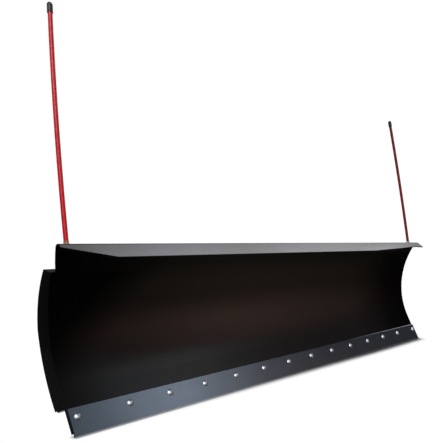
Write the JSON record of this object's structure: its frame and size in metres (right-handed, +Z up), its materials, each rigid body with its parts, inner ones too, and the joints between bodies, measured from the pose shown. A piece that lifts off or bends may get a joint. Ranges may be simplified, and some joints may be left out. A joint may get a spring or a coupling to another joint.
{
  "type": "snow plow blade",
  "caption": "Wide curved snow plow blade for an ATV with a bolted wear bar, tall red edge markers, a spring-loaded trip hinge, a pivot frame and swivelling skid shoes.",
  "frame": {"origin": "middle of the kingpin bore in the pivot frame, where the push tube holds the blade; the ground is 0.1029 m below it", "axes": "+X along the blade to the right seen from in front, -Y the front that pushes snow, +Z up"},
  "size_m": [1.829, 0.3612, 1.0304],
  "materials": {
    "black_coat": "satin black powder coat on steel",
    "bar_steel": "satin blue-grey steel bar",
    "zinc_steel": "bright zinc plated steel",
    "yellow_zinc": "yellow zinc plated steel",
    "spring_steel": "zinc plated spring wire",
    "bronze": "plain bronze bushing",
    "red_plastic": "glossy red plastic sleeve over a fibreglass rod",
    "black_vinyl": "soft black vinyl",
    "cast_shoe": "rough cast iron, worn on the underside"
  },
  "bodies": {
    "pivot_frame": {"frame_bottom_plate": "black_coat", "frame_cross_tube": "black_coat", "frame_top_plate": "black_coat", "kingpin_sleeve": "black_coat", "left_frame_ear": "black_coat", "left_hinge_bushing": "bronze", "left_spring": "spring_steel", "left_spring_clevis": "black_coat", "right_frame_ear": "black_coat", "right_hinge_bushing": "bronze", "right_spring": "spring_steel", "right_spring_clevis": "black_coat", "spring_anchor_bolts": "zinc_steel", "spring_anchor_nuts": "zinc_steel"},
    "blade": {"bottom_angle": "black_coat", "eyebolt_nuts": "zinc_steel", "eyebolt_washers": "zinc_steel", "hinge_pin_cotters": "zinc_steel", "left_end_rib": "black_coat", "left_eyebolt": "zinc_steel", "left_hinge_pin": "zinc_steel", "left_hinge_rib_inner": "black_coat", "left_hinge_rib_outer": "black_coat", "left_marker_bracket": "black_coat", "left_marker_cap": "black_vinyl", "left_marker_nuts": "yellow_zinc", "left_marker_rod": "red_plastic", "left_marker_stud": "zinc_steel", "left_outer_rib": "black_coat", "left_shoe_rib": "black_coat", "left_shoe_socket": "black_coat", "moldboard": "black_coat", "right_end_rib": "black_coat", "right_eyebolt": "zinc_steel", "right_hinge_pin": "zinc_steel", "right_hinge_rib_inner": "black_coat", "right_hinge_rib_outer": "black_coat", "right_marker_bracket": "black_coat", "right_marker_cap": "black_vinyl", "right_marker_nuts": "yellow_zinc", "right_marker_rod": "red_plastic", "right_marker_stud": "zinc_steel", "right_outer_rib": "black_coat", "right_shoe_rib": "black_coat", "right_shoe_socket": "black_coat", "spring_bar": "black_coat", "wear_bar": "bar_steel", "wear_bar_bolts": "zinc_steel", "wear_bar_nuts": "zinc_steel"},
    "left_shoe": {"left_shoe_foot": "cast_shoe", "left_shoe_shaft": "zinc_steel", "left_shoe_washers": "zinc_steel", "left_shoe_roll_pin": "zinc_steel"},
    "right_shoe": {"right_shoe_foot": "cast_shoe", "right_shoe_shaft": "zinc_steel", "right_shoe_washers": "zinc_steel", "right_shoe_roll_pin": "zinc_steel"}
  },
  "joints": [
    {"name": "trip_hinge", "type": "hinge", "parent": "pivot_frame", "child": "blade", "pos_m": [0, -0.137, 0.0121], "axis": [1, 0, 0], "range_deg": [0, 25], "stiffness_Nm_per_rad": 140, "springref_deg": -20.63, "deforming": ["left_spring", "right_spring"]},
    {"name": "left_shoe_swivel", "type": "hinge", "parent": "blade", "child": "left_shoe", "pos_m": [-0.4173, -0.147, -0.0029], "axis": [0, 0, 1], "continuous": true},
    {"name": "right_shoe_swivel", "type": "hinge", "parent": "blade", "child": "right_shoe", "pos_m": [0.4173, -0.147, -0.0029], "axis": [0, 0, 1], "continuous": true}
  ]
}
